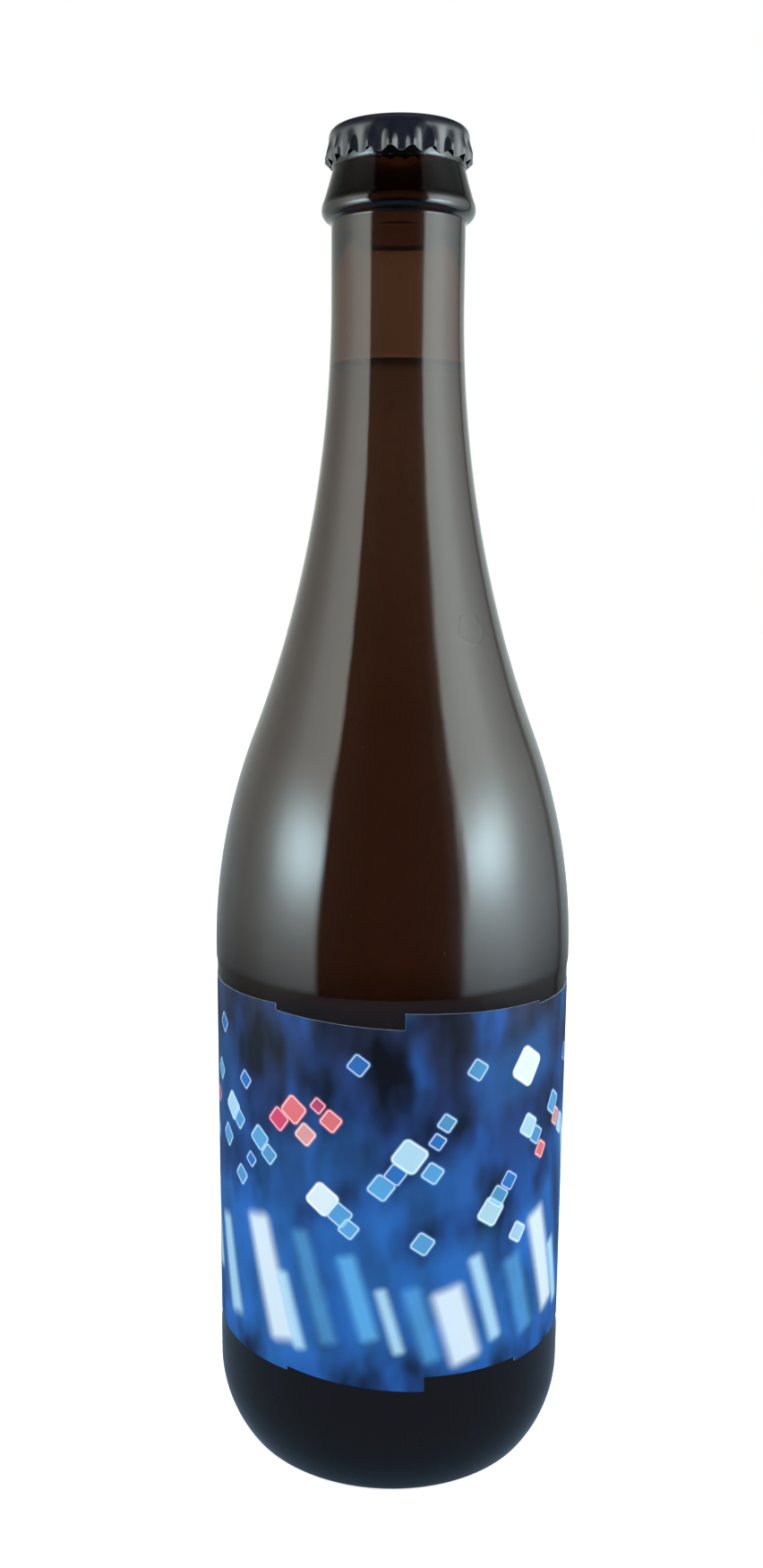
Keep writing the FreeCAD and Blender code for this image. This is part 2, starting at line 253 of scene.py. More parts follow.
def inside_outline():
    """Inner face, from the middle of the floor up to the mouth's edge."""
    floor = INNER_RADIUS - INNER_HEEL
    return outline([
        (0.0, PUNT_HEIGHT + BASE_WALL, sagged(floor), CLOCKWISE, 10),
        (floor, BASE_WALL, INNER_HEEL, ANTICLOCKWISE, 14),
        (INNER_RADIUS, BASE_WALL + INNER_HEEL),
        *shoulder(INNER_RADIUS, BORE_RADIUS, SHOULDER_RADIUS - (BODY_RADIUS - INNER_RADIUS)),
        (BORE_RADIUS, SHOULDER_START + SHOULDER_HEIGHT),
        (BORE_RADIUS, BORE_STEP_LOW, BORE_STEP_ARC, CLOCKWISE, 12),
        (MOUTH_RADIUS, BORE_STEP_HIGH),
        (MOUTH_RADIUS, MOUTH - MOUTH_ROUND, MOUTH_ROUND, CLOCKWISE, 6),
        (MOUTH_RADIUS + MOUTH_ROUND, MOUTH),
    ])


def grown(points, distance):
    """The same open outline moved outwards by a distance, and kept on its side of the axis."""
    moved = []
    for index, (radius, height) in enumerate(points):
        before = points[max(index - 1, 0)]
        after = points[min(index + 1, len(points) - 1)]
        along = Vector((after[0] - before[0], after[1] - before[1])).normalized()
        moved.append((max(radius + along.y * distance, 0.0), height - along.x * distance))
    return moved


def new_object(name, build, material_list, sharp_angle=35.0):
    """A mesh object whose bmesh the build function fills, in millimetres; steeper edges stay sharp."""
    mesh = bpy.data.meshes.new(name)
    shape = bmesh.new()
    build(shape)
    bmesh.ops.scale(shape, vec=(MM, MM, MM), verts=shape.verts)
    bmesh.ops.recalc_face_normals(shape, faces=shape.faces)
    shape.to_mesh(mesh)
    shape.free()
    mesh.shade_smooth()
    mesh.set_sharp_from_angle(angle=math.radians(sharp_angle))
    piece = bpy.data.objects.new(name, mesh)
    bpy.context.collection.objects.link(piece)
    for material in material_list:
        mesh.materials.append(material)
    return piece


def level_ring(shape, radius, height, count):
    """Vertices of a level circle round the axis."""
    ring = []
    for step in range(count):
        angle = 2 * math.pi * step / count
        ring.append(shape.verts.new((radius * math.cos(angle), radius * math.sin(angle), height)))
    return ring


def revolve(shape, points):
    """Surface of revolution of an outline; a point on the axis becomes a single vertex."""
    rings = []
    for radius, height in points:
        on_axis = radius < 1e-6
        rings.append(level_ring(shape, 0.0 if on_axis else radius, height, 1 if on_axis else SEGMENTS))
    join_rings(shape, rings)


def join_rings(shape, rings):
    """Faces between each ring and the next; a ring may be a single vertex."""
    for lower, upper in zip(rings, rings[1:]):
        count = max(len(lower), len(upper))
        for step in range(count):
            following = (step + 1) % count
            corners = [lower[step % len(lower)], lower[following % len(lower)]]
            corners += [upper[following % len(upper)], upper[step % len(upper)]]
            shape.faces.new(list(dict.fromkeys(corners)))


def smooth_step(value, low, high):
    """0 at low and 1 at high, level at both ends."""
    share = min(max((value - low) / (high - low), 0.0), 1.0)
    return share * share * (3 - 2 * share)


# ---------------------------------------------------------------- shader helpers

def linear(*display):
    """Linear colour of red, green and blue display values from 0 to 255."""
    values = [value / 255 for value in display]
    return tuple(v / 12.92 if v <= 0.04045 else ((v + 0.055) / 1.055) ** 2.4 for v in values) + (1.0,)


def add(tree, kind, inputs=(), **settings):
    """A shader node with its settings and its inputs, each a plain value or another node's socket."""
    node = tree.nodes.new(kind)
    for name, value in settings.items():
        setattr(node, name, value)
    for key, value in dict(inputs).items():
        if isinstance(value, bpy.types.NodeSocket):
            tree.links.new(value, node.inputs[key])
        else:
            node.inputs[key].default_value = value
    return node


def math_node(tree, operation, first, second=0.0, third=0.0):
    inputs = {0: first, 1: second, 2: third}
    return add(tree, "ShaderNodeMath", inputs, operation=operation).outputs[0]


def vector_math(tree, operation, first, second=(0.0, 0.0, 0.0)):
    return add(tree, "ShaderNodeVectorMath", {0: first, 1: second}, operation=operation).outputs["Vector"]


def mix(tree, share, first, second, blend="MIX"):
    """Two colours, mixed or blended by a share of the second."""
    inputs = {0: share, 6: first, 7: second}
    return add(tree, "ShaderNodeMix", inputs, data_type="RGBA", blend_type=blend).outputs[2]


def fall(tree, value, low, high, kind="LINEAR"):
    """1 where the value is at low or under, 0 where it is at high or over."""
    inputs = {"Value": value, "From Min": low, "From Max": high, "To Min": 1.0, "To Max": 0.0}
    return add(tree, "ShaderNodeMapRange", inputs, interpolation_type=kind).outputs[0]


def ramp(tree, factor, stops, mode="LINEAR"):
    """A colour by factor; each stop is a place from 0 to 1 and its colour."""
    node = add(tree, "ShaderNodeValToRGB", {"Fac": factor})
    node.color_ramp.interpolation = mode
    elements = node.color_ramp.elements
    while len(elements) < len(stops):
        elements.new(0.5)
    for element, (place, colour) in zip(elements, stops):
        element.position = place
        element.color = colour
    return node.outputs["Color"]


def grey(value):
    return (value, value, value, 1.0)


def empty_material(name):
    """A material whose node tree holds nothing yet."""
    material = bpy.data.materials.new(name)
    material.use_nodes = True
    tree = material.node_tree
    tree.nodes.clear()
    return material, tree


def new_material(name):
    """A material with its tree, its Principled shader and its output node."""
    material, tree = empty_material(name)
    shader = add(tree, "ShaderNodeBsdfPrincipled")
    output = add(tree, "ShaderNodeOutputMaterial", {"Surface": shader.outputs[0]})
    return material, tree, shader, output


def object_place(tree):
    """The point in the part's frame, in metres."""
    return add(tree, "ShaderNodeTexCoord").outputs["Object"]


def height_of(tree, place):
    return add(tree, "ShaderNodeSeparateXYZ", {"Vector": place}).outputs["Z"]


def azimuth_degrees(tree, place):
    """Angle round the bottle from the front, positive to the right, in degrees."""
    parts = add(tree, "ShaderNodeSeparateXYZ", {"Vector": place}).outputs
    towards_front = math_node(tree, "MULTIPLY", parts["Y"], -1.0)
    angle = math_node(tree, "ARCTAN2", parts["X"], towards_front)
    return math_node(tree, "DEGREES", angle)


def noise(tree, place, scale, detail=3.0, roughness=0.5, stretch=(1.0, 1.0, 1.0)):
    """Noise at so many cells for each unit of place; a stretch under 1 draws it out along that axis."""
    mapped = add(tree, "ShaderNodeMapping", {"Vector": place, "Scale": stretch}).outputs["Vector"]
    inputs = {"Vector": mapped, "Scale": scale, "Detail": detail, "Roughness": roughness}
    return add(tree, "ShaderNodeTexNoise", inputs).outputs["Fac"]


# ---------------------------------------------------------------- materials

# Ring left by a dried drop on the right of the shoulder, in metres.
RING_MARK_PLACE = (0.0157, -0.0174, 0.192)
RING_MARK_RADIUS = 0.0034
RING_MARK_WOBBLE = 0.005
RING_MARK_WIDTH = 0.0007
# Colour of the glass at its faces, from the body up to the finish, and the colour and density of its depth. The
# darker face colours above the drink's level and at the finish are painted shade.
GLASS_TINT = (0.97, 0.96, 0.95, 1.0)
NECK_PAINTED_SHADE_TINT = (0.63, 0.62, 0.6, 1.0)
FINISH_PAINTED_SHADE_TINT = (0.52, 0.46, 0.42, 1.0)
GLASS_BODY = (0.5, 0.27, 0.07, 1.0)
GLASS_DEPTH = 470.0
# Colour of the drink, from its surface down to the foot, with painted light and shade: a painted dark rim at
# the surface, painted light in the neck and painted shade at the foot.
BEER_RIM_PAINTED_SHADE = (0.25, 0.2, 0.2, 1.0)
BEER_NECK_PAINTED_LIGHT = (0.92, 0.84, 0.84, 1.0)
BEER_SHOULDER = (0.62, 0.5, 0.44, 1.0)
BEER_BODY = (0.5, 0.31, 0.2, 1.0)
BEER_FOOT_PAINTED_SHADE = (0.1, 0.09, 0.1, 1.0)


def ring_mark(tree, place):
    """Wavering ring left by a dried drop: 1 on its line, 0 away from it."""
    inputs = {0: place, 1: RING_MARK_PLACE}
    away = add(tree, "ShaderNodeVectorMath", inputs, operation="DISTANCE").outputs["Value"]
    wobble = math_node(tree, "MULTIPLY", noise(tree, place, scale=160.0, detail=2.0), RING_MARK_WOBBLE)
    away = math_node(tree, "ADD", away, wobble)
    line = RING_MARK_RADIUS + RING_MARK_WOBBLE / 2
    off = math_node(tree, "ABSOLUTE", math_node(tree, "SUBTRACT", away, line))
    return fall(tree, off, 0.0, RING_MARK_WIDTH)


def glass_roughness(tree, place, ring):
    """Streaked smudges, duller on the ring mark and on specks of dust."""
    smudge = noise(tree, place, scale=55.0, detail=6.0, roughness=0.62, stretch=(1.0, 1.0, 0.3))
    haze = ramp(tree, smudge, [(0.0, grey(0.03)), (0.48, grey(0.045)), (0.68, grey(0.13)), (1.0, grey(0.24))])
    dust = ramp(tree, noise(tree, place, scale=900.0, detail=1.0), [(0.79, grey(0.0)), (0.82, grey(1.0))])
    marks = math_node(tree, "MAXIMUM", ring, dust)
    return mix(tree, marks, haze, grey(0.4))


def glass_tint_and_painted_shade(tree, place):
    """Colour of the glass by height, a little uneven, with painted shade: darker above the drink's level and
    darker still at the finish.
    """
    share = math_node(tree, "DIVIDE", height_of(tree, place), MOUTH * MM)
    level = LEVEL / MOUTH
    finish = NECK_TOP / MOUTH
    # Painted shade: the glass darkens above the drink's level and more at the finish.
    shaded_tint = ramp(tree, share, [
        (0.0, GLASS_TINT), (level - 0.002, GLASS_TINT), (level + 0.001, NECK_PAINTED_SHADE_TINT),
        (finish - 0.02, NECK_PAINTED_SHADE_TINT), (finish + 0.01, FINISH_PAINTED_SHADE_TINT), (1.0, FINISH_PAINTED_SHADE_TINT),
    ])
    cloud = ramp(tree, noise(tree, place, scale=14.0, detail=2.0), [(0.3, grey(1.0)), (0.7, grey(0.88))])
    return mix(tree, 1.0, shaded_tint, cloud, "MULTIPLY")


def glass_relief(tree, place, ring):
    """Normal of the faintly rippled and streaked surface."""
    ripple = noise(tree, place, scale=38.0, roughness=0.45, stretch=(1.0, 1.0, 0.35))
    streak = noise(tree, place, scale=260.0, detail=2.0, stretch=(1.0, 1.0, 0.06))
    relief = math_node(tree, "MULTIPLY_ADD", streak, 0.07, ripple)
    relief = math_node(tree, "MULTIPLY_ADD", ring, 0.1, relief)
    return add(tree, "ShaderNodeBump", {"Height": relief, "Strength": 0.5, "Distance": 0.0006}).outputs[0]


def glass_material():
    """Dark amber glass, tinted in its depth by absorption."""
    material, tree, shader, output = new_material("amber_glass_look")
    place = object_place(tree)
    ring = ring_mark(tree, place)
    tree.links.new(glass_roughness(tree, place, ring), shader.inputs["Roughness"])
    tree.links.new(glass_tint_and_painted_shade(tree, place), shader.inputs["Base Color"])
    tree.links.new(glass_relief(tree, place, ring), shader.inputs["Normal"])
    shader.inputs["Transmission Weight"].default_value = 1.0
    shader.inputs["IOR"].default_value = 1.52
    depth = add(tree, "ShaderNodeVolumeAbsorption", {"Color": GLASS_BODY, "Density": GLASS_DEPTH})
    tree.links.new(depth.outputs[0], output.inputs["Volume"])
    return material


def beer_material():
    """Hazy drink with painted light and shade by height: painted light in the neck, painted shade low in the
    body and at the foot, and a painted dark rim at its surface.
    """
    material, tree, shader, _ = new_material("hazy_beer_look")
    place = object_place(tree)
    share = math_node(tree, "DIVIDE", height_of(tree, place), LEVEL * MM)
    # Painted light and shade by height: a light neck, a dark foot and a dark rim at the surface.
    body = ramp(tree, share, [
        (0.0, BEER_FOOT_PAINTED_SHADE), (0.44, BEER_FOOT_PAINTED_SHADE), (0.5, BEER_BODY), (0.7, BEER_BODY),
        (0.8, BEER_SHOULDER), (0.93, BEER_NECK_PAINTED_LIGHT), (0.9895, BEER_NECK_PAINTED_LIGHT), (0.9965, BEER_RIM_PAINTED_SHADE), (1.0, BEER_RIM_PAINTED_SHADE),
    ])
    cloud = ramp(tree, noise(tree, place, scale=26.0), [(0.3, grey(0.8)), (0.7, grey(1.0))])
    tree.links.new(mix(tree, 1.0, body, cloud, "MULTIPLY"), shader.inputs["Base Color"])
    shader.inputs["Roughness"].default_value = 0.4
    shader.inputs["Specular IOR Level"].default_value = 0.05
    return material


def cap_material():
    """Glossy near-black navy lacquer with fine orange peel and a few scuffs."""
    material, tree, shader, _ = new_material("cap_lacquer_look")
    place = object_place(tree)
    cloud = noise(tree, place, scale=220.0)
    shade = ramp(tree, cloud, [(0.3, linear(19, 22, 31)), (0.7, linear(25, 28, 38))])
    gloss = ramp(tree, noise(tree, place, scale=500.0, detail=4.0), [(0.35, grey(0.12)), (0.75, grey(0.26))])
    peel = noise(tree, place, scale=1600.0, detail=2.0)
    bump = add(tree, "ShaderNodeBump", {"Height": peel, "Strength": 0.12, "Distance": 0.0001})
    tree.links.new(shade, shader.inputs["Base Color"])
    tree.links.new(gloss, shader.inputs["Roughness"])
    tree.links.new(bump.outputs[0], shader.inputs["Normal"])
    shader.inputs["Coat Weight"].default_value = 0.6
    shader.inputs["Coat Roughness"].default_value = 0.08
    return material


def cap_edge_material():
    """Cut edge of the tinplate, where the lacquer ends."""
    material, tree, shader, _ = new_material("cap_cut_edge_look")
    grain = noise(tree, object_place(tree), scale=900.0, detail=2.0)
    shade = ramp(tree, grain, [(0.3, linear(140, 146, 156)), (0.7, linear(190, 196, 206))])
    tree.links.new(shade, shader.inputs["Base Color"])
    shader.inputs["Metallic"].default_value = 0.25
    shader.inputs["Roughness"].default_value = 0.35
    return material


SOFT_SHAPE_INPUTS = {
    "Under": "Color", "Place": "Vector", "Centre": "Vector", "Half": "Vector", "Turn": "Float",
    "Round": "Float", "Soft": "Float", "Rim": "Float", "Cover": "Float", "Colour": "Color",
}
RIM_COLOUR = (0.9, 0.95, 1.0, 1.0)


def soft_shape_group():
    """Node group that lays one soft-edged, turned, rounded box with a lighter rim over a colour."""
    group = bpy.data.node_groups.new("soft_shape", "ShaderNodeTree")
    for name, kind in SOFT_SHAPE_INPUTS.items():
        group.interface.new_socket(name=name, in_out="INPUT", socket_type="NodeSocket" + kind)
    group.interface.new_socket(name="Colour", in_out="OUTPUT", socket_type="NodeSocketColor")
    given = add(group, "NodeGroupInput").outputs
    offset = vector_math(group, "SUBTRACT", given["Place"], given["Centre"])
    inputs = {"Vector": offset, "Angle": given["Turn"]}
    turned = add(group, "ShaderNodeVectorRotate", inputs, rotation_type="Z_AXIS").outputs[0]
    beyond = vector_math(group, "SUBTRACT", vector_math(group, "ABSOLUTE", turned), given["Half"])
    outside = vector_math(group, "MAXIMUM", beyond)
    reach = add(group, "ShaderNodeVectorMath", {0: outside}, operation="LENGTH").outputs["Value"]
    distance = math_node(group, "SUBTRACT", reach, given["Round"])
    inner = math_node(group, "MULTIPLY", given["Soft"], -1.0)
    mask = fall(group, distance, inner, given["Soft"], "SMOOTHSTEP")
    line = math_node(group, "ABSOLUTE", math_node(group, "MULTIPLY_ADD", given["Soft"], 1.1, distance))
    ring = fall(group, line, 0.0, given["Soft"], "SMOOTHSTEP")
    edge = math_node(group, "MULTIPLY", math_node(group, "MULTIPLY", ring, given["Rim"]), mask)
    cover = math_node(group, "MULTIPLY", mask, given["Cover"])
    laid = mix(group, cover, given["Under"], given["Colour"])
    lit = mix(group, edge, laid, RIM_COLOUR, "SCREEN")
    add(group, "NodeGroupOutput", {"Colour": lit})
    return group


WHITE = linear(224, 243, 248)
ICE = linear(176, 222, 242)
CYAN = linear(88, 172, 226)
BLUE = linear(30, 108, 188)
CORAL = linear(226, 110, 112)
ROSE = linear(206, 62, 98)
PEACH = linear(232, 160, 146)

# The print, in millimetres from the front of the label and above the standing plane: an abstract pattern of
# slanting light bars and soft tilted squares. A bar is: across, up, half width, half height, softness, cover,
# colour. A square is: across, up, half width, colour, cover.
BAR_TURN = -16.0
BAR_ROUND = 0.6
SQUARE_TURN = 36.0
SQUARE_SHRINK = 0.8
SQUARE_ROUND = 0.55
SQUARE_SOFT = 0.3
SQUARE_RIM = 0.45
SQUARE_COVER = 0.85
BARS = (
    (-47, 50, 5.5, 15, 6.0, 0.75, BLUE), (-28, 49, 7.0, 16, 7.0, 0.8, BLUE),
    (-6, 53, 6.0, 14, 6.5, 0.7, BLUE), (16, 47, 8.0, 12, 7.0, 0.8, BLUE),
    (41, 51, 6.0, 15, 6.0, 0.75, BLUE), (30, 99, 9.0, 4.0, 6.0, 0.5, BLUE),
    (-20, 79, 13.0, 4.0, 7.0, 0.45, BLUE), (56, 66, 4.0, 16, 5.0, 0.7, BLUE),
    (6, 73, 10.0, 3.5, 6.0, 0.5, BLUE), (-48, 91, 5.0, 9.0, 6.0, 0.4, BLUE),
    (-46, 47, 1.4, 10, 2.4, 0.9, ICE), (-30, 50, 2.0, 13, 2.6, 1.0, WHITE),
    (-24, 44, 0.6, 8, 1.6, 0.85, ICE), (-18, 51, 0.8, 12, 2.2, 0.55, CYAN),
    (-8, 50, 1.0, 9, 2.0, 0.9, CYAN), (-1, 45, 0.4, 7, 1.4, 0.8, ICE),
    (6, 44, 0.8, 8, 2.2, 0.6, CYAN), (14, 43, 2.3, 8, 2.4, 0.97, WHITE),
    (21, 48, 0.6, 10, 1.6, 0.85, ICE), (31, 46, 1.2, 9, 2.4, 0.6, CYAN),
    (40, 51, 1.7, 12, 2.4, 1.0, WHITE), (47, 45, 0.7, 8, 1.6, 0.9, ICE),
    (57, 66, 1.1, 12, 1.8, 0.9, ICE), (-57, 52, 1.0, 9, 1.8, 0.85, ICE),
)
SQUARES = (
    (-52, 92, 1.6, CYAN, 0.7), (-44, 86, 2.0, ICE, 0.8), (-38, 94, 1.4, BLUE, 0.9),
    (-33, 82, 1.8, CYAN, 0.75), (-41, 84, 1.6, CYAN, 0.6), (-30, 79, 1.5, CYAN, 0.6),
    (-36, 76, 1.2, BLUE, 0.9), (-47, 78, 1.7, CYAN, 0.65), (-27, 88, 1.7, ROSE, 0.95),
    (-23, 91, 2.0, CORAL, 0.9), (-20, 86, 1.6, PEACH, 0.8), (-14, 90, 1.6, CORAL, 0.85),
    (-17, 93, 1.2, ROSE, 0.7), (-40, 71, 1.5, CYAN, 0.6), (-16, 72, 2.3, WHITE, 0.85),
    (-12, 69, 1.8, CYAN, 0.65), (-10, 66, 1.5, CYAN, 0.7), (-3, 76, 1.9, CYAN, 0.75),
    (0, 79, 1.6, BLUE, 0.9), (3, 83, 2.4, ICE, 0.85), (8, 79, 1.6, CYAN, 0.7),
    (11, 90, 1.4, CYAN, 0.6), (9, 86, 1.3, BLUE, 0.9), (6, 63, 1.7, CYAN, 0.7),
    (22, 68, 2.1, ICE, 0.8), (24, 71, 1.7, CYAN, 0.6), (27, 74, 1.5, BLUE, 0.9),
    (18, 101, 1.6, CYAN, 0.55), (32, 99, 2.8, WHITE, 0.9), (33, 85, 1.8, ICE, 0.8),
    (36, 82, 1.5, CYAN, 0.6), (38, 78, 1.4, CORAL, 0.85), (44, 87, 1.9, CYAN, 0.75),
    (46, 83, 1.5, PEACH, 0.7), (50, 80, 1.7, ICE, 0.8), (30, 61, 1.6, ICE, 0.7),
    (53, 96, 1.5, BLUE, 0.9), (-49, 104, 1.5, BLUE, 0.8), (-8, 103, 1.6, BLUE, 0.8),
    (60, 74, 1.8, CYAN, 0.7), (-58, 76, 1.8, CYAN, 0.7), (-60, 62, 1.6, ICE, 0.7),
    (61, 92, 1.5, PEACH, 0.7), (-55, 85, 1.3, ROSE, 0.7),
)


def label_place(tree, place):
    """Point on the flat label, in millimetres from the front and above the standing plane, and its height.

    The print repeats every half turn.
    """
    face_radius = PANEL_RADIUS + LABEL_SHEET
    around = math_node(tree, "RADIANS", azimuth_degrees(tree, place))
    across = math_node(tree, "MULTIPLY", around, face_radius)
    quarter = math.pi * face_radius / 2
    across = math_node(tree, "WRAP", across, quarter, -quarter)
    up = math_node(tree, "DIVIDE", height_of(tree, place), MM)
    return add(tree, "ShaderNodeCombineXYZ", {"X": across, "Y": up}).outputs[0], up


def label_field(tree, flat, up):
    """Blurred blue ground of the print, darker towards the top, with lighter washes and dark patches."""
    inputs = {"Value": up, "From Min": LABEL_LOW[2], "From Max": LABEL_HIGH[2]}
    share = add(tree, "ShaderNodeMapRange", inputs).outputs[0]
    field = ramp(tree, share, [
        (0.0, linear(16, 74, 144)), (0.2, linear(14, 74, 146)), (0.45, linear(16, 66, 134)),
        (0.7, linear(18, 48, 100)), (0.85, linear(22, 34, 66)), (1.0, linear(30, 40, 68)),
    ])
    wash = noise(tree, flat, scale=0.07, detail=2.0, stretch=(1.0, 0.4, 1.0))
    wash = ramp(tree, wash, [(0.45, grey(0.0)), (0.7, grey(0.7))], "EASE")
    washed = mix(tree, wash, field, linear(16, 80, 158))
    patch = noise(tree, flat, scale=0.11, detail=2.0, stretch=(1.0, 0.5, 1.0))
    dark = ramp(tree, patch, [(0.38, grey(0.16)), (0.6, grey(1.0))])
    return mix(tree, 1.0, washed, dark, "MULTIPLY")


def label_shapes():
    """Settings of the print's soft shapes, in the order in which they are laid."""
    shapes = []
    for across, up, half_width, half_height, soft, cover, colour in BARS:
        shapes.append({"Centre": (across, up, 0), "Half": (half_width, half_height, 0), "Round": BAR_ROUND,
                       "Turn": math.radians(BAR_TURN), "Soft": soft, "Rim": 0.0, "Cover": cover,
                       "Colour": colour})
    for across, up, half_width, colour, cover in SQUARES:
        half = half_width * SQUARE_SHRINK
        shapes.append({"Centre": (across, up, 0), "Half": (half, half, 0), "Round": half_width * SQUARE_ROUND,
                       "Turn": math.radians(SQUARE_TURN), "Soft": SQUARE_SOFT, "Rim": SQUARE_RIM,
                       "Cover": cover * SQUARE_COVER, "Colour": colour})
    return shapes


def label_material():
    """Semi-gloss printed paper, faintly fibrous and wavy."""
    material, tree, shader, _ = new_material("label_print_look")
    place = object_place(tree)
    flat, up = label_place(tree, place)
    colour = label_field(tree, flat, up)
    group = soft_shape_group()
    for settings in label_shapes():
        inputs = {"Under": colour, "Place": flat, **settings}
        colour = add(tree, "ShaderNodeGroup", inputs, node_tree=group).outputs[0]
    tree.links.new(colour, shader.inputs["Base Color"])
    fibre = noise(tree, place, scale=1800.0, roughness=0.6)
    wave = noise(tree, place, scale=40.0, detail=2.0)
    relief = math_node(tree, "ADD", math_node(tree, "MULTIPLY", fibre, 0.06), wave)
    bump = add(tree, "ShaderNodeBump", {"Height": relief, "Strength": 0.2, "Distance": 0.0006})
    gloss = ramp(tree, fibre, [(0.3, grey(0.34)), (0.7, grey(0.46))])
    tree.links.new(gloss, shader.inputs["Roughness"])
    tree.links.new(bump.outputs[0], shader.inputs["Normal"])
    shader.inputs["Specular IOR Level"].default_value = 0.25
    return material


def paper_edge_material():
    """Pale cut edge of the label's paper."""
    material, tree, shader, _ = new_material("label_cut_edge_look")
    fibre = noise(tree, object_place(tree), scale=2500.0)
    shade = ramp(tree, fibre, [(0.3, linear(150, 165, 190)), (0.7, linear(190, 202, 220))])
    tree.links.new(shade, shader.inputs["Base Color"])
    shader.inputs["Roughness"].default_value = 0.8
    return material


# ---------------------------------------------------------------- pieces

def make_glass():
    """One closed wall: up the outside, over the mouth's edge and down the inside."""
    points = outside_outline() + inside_outline()[::-1]
    piece = new_object("bottle_glass", lambda shape: revolve(shape, points), [glass_material()])
    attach(piece, "root")
    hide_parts("bottle")


def make_beer():
    """The drink reaches just into the wall, and climbs it a little round its surface."""
    wetted = [point for point in inside_outline() if point[1] < LEVEL - WALL_TOP_DROP]
    wall = grown(wetted, INTO_WALL)
    edge = wall[-1][0]
    surface = [(edge - inwards, LEVEL - drop) for inwards, drop in SURFACE]
    points = wall + surface + [(0.0, LEVEL - SURFACE_DROP)]
    piece = new_object("beer_fill", lambda shape: revolve(shape, points), [beer_material()])
    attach(piece, "root")
    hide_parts("beer")


def cap_station(height, inset):
    """Mean radius and flute depth of the cap's skirt at a height, with the radius less an inset."""
    share = height / CAP_RIM_HEIGHT
    radius = CAP_RIM_RADIUS + CAP_FLARE * (1.0 - smooth_step(share, 0.3, 1.0)) - inset
    depth = CAP_DEPTH * (1.0 - smooth_step(share, 0.25, 0.98))
    return radius, depth


def cap_ring(shape, radius, depth, height, scallop=0.0):
    """Ring round the cap: a narrow crest for each tooth, and wide hollows between, one of them in front."""
    count = CAP_TEETH * CAP_STEPS_PER_TOOTH
    ring = []
    for step in range(count):
        angle = 2 * math.pi * step / count
        wave = (1 - math.cos(CAP_TEETH * (angle + math.pi / 2))) / 2
        reach = radius + depth * (wave**CAP_CREST_POWER - CAP_CREST_MEAN)
        level = CAP_LOW[2] + (height + scallop * wave)
        ring.append(shape.verts.new((reach * math.cos(angle), reach * math.sin(angle), level)))
    return ring


def cap_face(shape, inset):
    """Rings of one face of the cap, from the teeth up to the middle; only the outer face is dished."""
    rings = []
    for height in CAP_SKIRT_HEIGHTS:
        radius, depth = cap_station(height, inset)
        scallop = CAP_SCALLOP * max(1.0 - height / CAP_SCALLOP_HEIGHT, 0.0)
        rings.append(cap_ring(shape, radius, depth, height, scallop))
    middle = CAP_RIM_RADIUS - CAP_CORNER
    corner = CAP_CORNER - inset
    for degrees in CAP_CORNER_ANGLES:
        angle = math.radians(degrees)
        radius = middle + corner * math.cos(angle)
        rings.append(cap_ring(shape, radius, 0.0, CAP_RIM_HEIGHT + corner * math.sin(angle)))
    dish = CAP_DISH_DEPTH if inset == 0.0 else 0.0
    for radius in CAP_TOP_RADII:
        drop = dish * smooth_step(radius, CAP_DISH_EDGE, CAP_DISH_FLAT)
        rings.append(cap_ring(shape, radius, 0.0, CAP_HEIGHT - inset - drop))
    rings.append([shape.verts.new((0.0, 0.0, CAP_LOW[2] + CAP_HEIGHT - inset - dish))])
    return rings


def build_cap(shape):
    """Outer and inner face of the sheet, joined by its cut edge round the teeth."""
    outer = cap_face(shape, 0.0)
    inner = cap_face(shape, CAP_SHEET)
    join_rings(shape, outer)
    join_rings(shape, inner)
    faces = set(shape.faces)
    join_rings(shape, [inner[0], outer[0]])
    for face in set(shape.faces) - faces:
        face.material_index = 1


def make_cap():
    piece = new_object("crown_cap_shell", build_cap, [cap_material(), cap_edge_material()], sharp_angle=50.0)
    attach(piece, "root")
    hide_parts("crown_cap")


def label_outline():
    """Corners (azimuth in degrees, height in millimetres) of the flat label, anticlockwise."""
    end = 180.0 - LABEL_GAP / 2
    low, high = LABEL_LOW[2], LABEL_HIGH[2]
    rear_low = (BOTTOM_BANDS[0][2] + BOTTOM_BANDS[-1][3]) / 2
    rear_high = (TOP_BANDS[0][2] + TOP_BANDS[-1][3]) / 2
    corners = [(-end, low + rear_low)]
    for left, right, left_rise, right_rise in BOTTOM_BANDS:
        corners += [(left, low + left_rise), (right, low + right_rise)]
    corners += [(end, low + rear_low), (end, high - rear_high)]
    for left, right, left_drop, right_drop in reversed(TOP_BANDS):
        corners += [(right, high - right_drop), (left, high - left_drop)]
    corners.append((-end, high - rear_high))
    return corners


def cut_across(shape, place, normal):
    """Cut every face of the shape along a plane, keeping both sides."""
    geometry = list(shape.verts) + list(shape.edges) + list(shape.faces)
    bmesh.ops.bisect_plane(shape, geom=geometry, plane_co=place, plane_no=normal, dist=1e-5)


